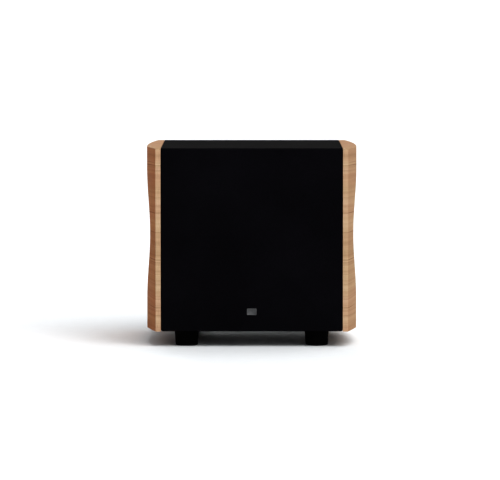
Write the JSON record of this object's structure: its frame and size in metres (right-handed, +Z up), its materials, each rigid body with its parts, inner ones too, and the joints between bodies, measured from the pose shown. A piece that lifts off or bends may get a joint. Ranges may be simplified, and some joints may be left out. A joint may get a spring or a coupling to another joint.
{
  "type": "powered subwoofer",
  "caption": "Cube powered subwoofer: black cabinet with a flush cloth grille over a front-firing driver, waisted wood cheeks, round feet and a rear plate amplifier.",
  "frame": {"origin": "on the floor, at the centre of the outer box", "axes": "+Z up, -Y out of the grille (front), +X to the right seen from the front"},
  "size_m": [0.4086, 0.3876, 0.3829],
  "materials": {
    "wood_cheek": "light brown hardwood veneer with horizontal grain, satin lacquer",
    "black_board": "fine satin black paint on fibreboard",
    "raw_board": "raw fibreboard",
    "grille_cloth": "black acoustic knit cloth",
    "frame_plastic": "matte black moulding",
    "rubber": "matte black rubber",
    "nameplate_metal": "brushed satin, blank",
    "surround_rubber": "satin black rubber",
    "cone_pulp": "dark fibrous cone material",
    "cast_frame": "black powder coat",
    "former_film": "amber film",
    "copper_wire": "enamelled copper winding",
    "spider_cloth": "resin treated cloth",
    "magnet_steel": "zinc plated steel",
    "ferrite": "dark ferrite ceramic",
    "fitting_plastic": "black moulded plastic",
    "lead_sheath": "red and black sheath",
    "amp_metal": "black textured powder coat",
    "sink_metal": "black anodised extrusion",
    "knob_plastic": "soft black plastic with a white pointer",
    "jack_metal": "nickel plated",
    "led_lens": "red tinted lens",
    "board_laminate": "green circuit board",
    "capacitor_sleeve": "printed sleeve without text",
    "transformer_tape": "amber tape wound over copper and steel",
    "foot_plastic": "matte black moulding"
  },
  "bodies": {
    "root": {"side_cheek_left": "wood_cheek", "side_cheek_right": "wood_cheek", "top_panel": "black_board", "bottom_panel": "black_board", "rear_panel": "black_board", "front_baffle": "black_board", "left_wall": "black_board", "right_wall": "black_board", "window_brace": "raw_board", "peg_socket_1": "rubber", "peg_socket_2": "rubber", "peg_socket_3": "rubber", "peg_socket_4": "rubber", "driver_gasket": "rubber", "foot_pad_front_left": "rubber", "foot_pad_front_right": "rubber", "foot_pad_rear_left": "rubber", "foot_pad_rear_right": "rubber", "surround": "surround_rubber", "driver_basket": "cast_frame", "spider": "spider_cloth", "top_plate": "magnet_steel", "pole_yoke": "magnet_steel", "level_pot": "magnet_steel", "crossover_pot": "magnet_steel", "magnet": "ferrite", "terminal_block": "fitting_plastic", "mains_inlet": "fitting_plastic", "switch_housing": "fitting_plastic", "speaker_lead": "lead_sheath", "amp_plate": "amp_metal", "heat_sink": "sink_metal", "line_jack_left": "jack_metal", "line_jack_right": "jack_metal", "power_led": "led_lens", "circuit_board": "board_laminate", "capacitor_1": "capacitor_sleeve", "capacitor_2": "capacitor_sleeve", "transformer": "transformer_tape", "foot_front_left": "foot_plastic", "foot_front_right": "foot_plastic", "foot_rear_left": "foot_plastic", "foot_rear_right": "foot_plastic"},
    "grille": {"grille_frame": "frame_plastic", "grille_cloth": "grille_cloth", "nameplate": "nameplate_metal", "grille_peg_1": "frame_plastic", "grille_peg_2": "frame_plastic", "grille_peg_3": "frame_plastic", "grille_peg_4": "frame_plastic"},
    "cone_assembly": {"cone": "cone_pulp", "dust_cap": "cone_pulp", "coil_former": "former_film", "voice_coil": "copper_wire"},
    "level_knob": {"level_knob": "knob_plastic"},
    "crossover_knob": {"crossover_knob": "knob_plastic"},
    "phase_switch": {"phase_switch": "fitting_plastic"},
    "auto_switch": {"auto_switch": "fitting_plastic"},
    "power_rocker": {"power_rocker": "fitting_plastic"},
    "fuse_drawer": {"fuse_drawer": "fitting_plastic"}
  },
  "joints": [
    {"name": "grille_pull", "type": "slide", "parent": "root", "child": "grille", "axis": [0, -1, 0], "range_m": [0, 0.045]},
    {"name": "cone_travel", "type": "slide", "parent": "root", "child": "cone_assembly", "axis": [0, -1, 0], "range_m": [-0.01, 0.01], "stiffness_N_per_m": 2500, "deforming": ["surround", "spider"]},
    {"name": "level_turn", "type": "hinge", "parent": "root", "child": "level_knob", "pos_m": [0.06, 0.1795, 0.2103], "axis": [0, -1, 0], "range_deg": [-150, 150]},
    {"name": "crossover_turn", "type": "hinge", "parent": "root", "child": "crossover_knob", "pos_m": [0.012, 0.1795, 0.2103], "axis": [0, -1, 0], "range_deg": [-150, 150]},
    {"name": "phase_slide", "type": "slide", "parent": "root", "child": "phase_switch", "axis": [1, 0, 0], "range_m": [0, 0.005]},
    {"name": "auto_slide", "type": "slide", "parent": "root", "child": "auto_switch", "axis": [1, 0, 0], "range_m": [0, 0.005]},
    {"name": "power_rock", "type": "hinge", "parent": "root", "child": "power_rocker", "pos_m": [0.02, 0.1795, 0.1083], "axis": [1, 0, 0], "range_deg": [0, 22]},
    {"name": "fuse_pull", "type": "slide", "parent": "root", "child": "fuse_drawer", "axis": [0, 1, 0], "range_m": [0, 0.018]}
  ]
}
